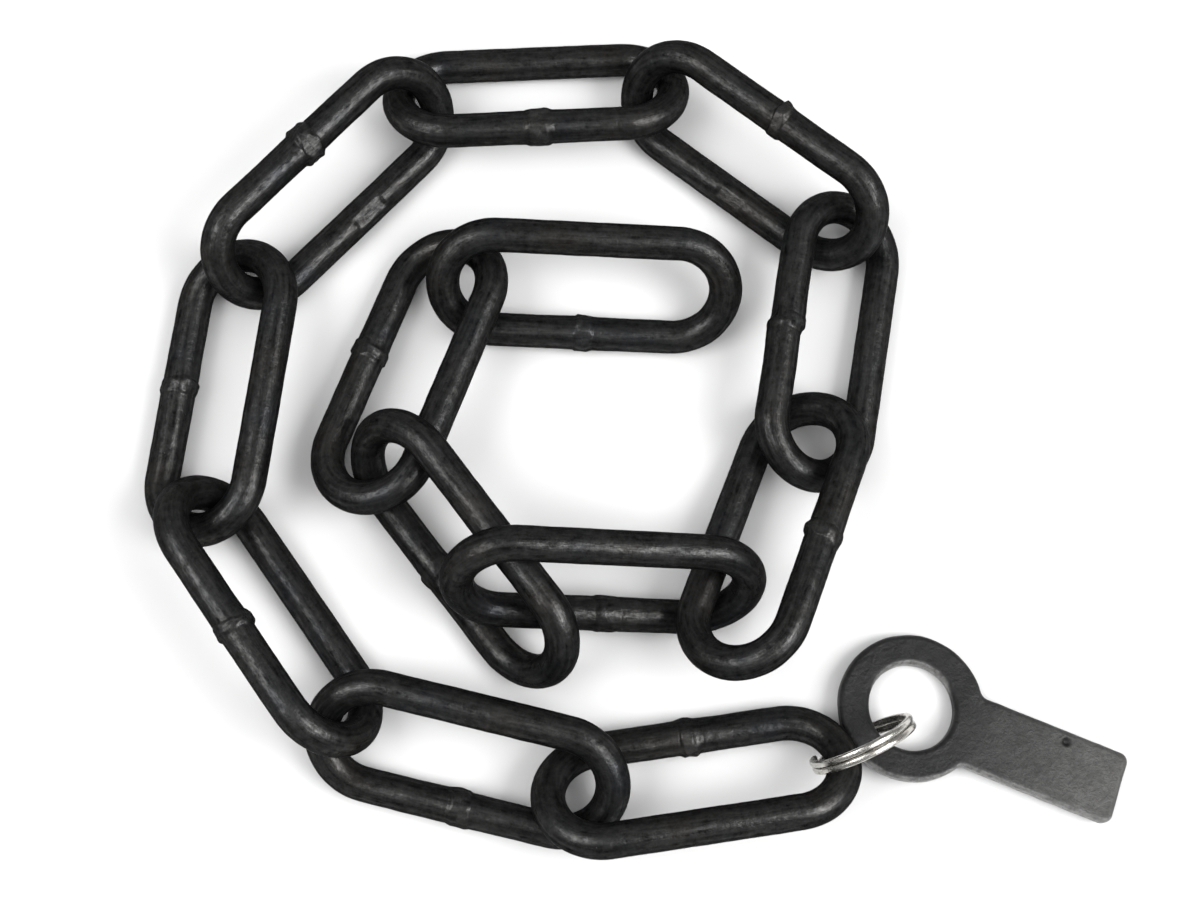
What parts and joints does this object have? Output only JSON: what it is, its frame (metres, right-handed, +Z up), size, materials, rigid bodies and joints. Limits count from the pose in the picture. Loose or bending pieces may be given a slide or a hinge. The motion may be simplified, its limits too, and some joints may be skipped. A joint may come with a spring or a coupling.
{
  "type": "chain",
  "caption": "Heap of long-link iron chain laid in a flat inward spiral, with a split ring and a plain forged tag on its outer end link",
  "frame": {"origin": "The middle of the heap's footprint on the floor that it lies on.", "axes": "+Z is up, and the heap's height is its shortest extent. +X runs along the heap's longest extent, from the bend of the spiral by link_04 towards the end with the ring and tag. +Y runs across the heap, away from the side where the first link lies."},
  "size_m": [0.2274, 0.198, 0.0375],
  "materials": {
    "link_01": "blackened satin mill scale",
    "link_02": "blackened satin mill scale",
    "link_03": "blackened satin mill scale",
    "link_04": "blackened satin mill scale",
    "link_05": "blackened satin mill scale",
    "link_06": "blackened satin mill scale",
    "link_07": "blackened satin mill scale",
    "link_08": "blackened satin mill scale",
    "link_09": "blackened satin mill scale",
    "link_10": "blackened satin mill scale",
    "link_11": "blackened satin mill scale",
    "link_12": "blackened satin mill scale",
    "link_13": "blackened satin mill scale",
    "split_ring": "bright nickel plate",
    "tag": "matte grey forged and tumbled"
  },
  "bodies": {
    "root": {"link_01": "link_01", "link_02": "link_02", "link_03": "link_03", "link_04": "link_04", "link_05": "link_05", "link_06": "link_06", "link_07": "link_07", "link_08": "link_08", "link_09": "link_09", "link_10": "link_10", "link_11": "link_11", "link_12": "link_12", "link_13": "link_13", "split_ring": "split_ring", "tag": "tag"}
  },
  "joints": []
}
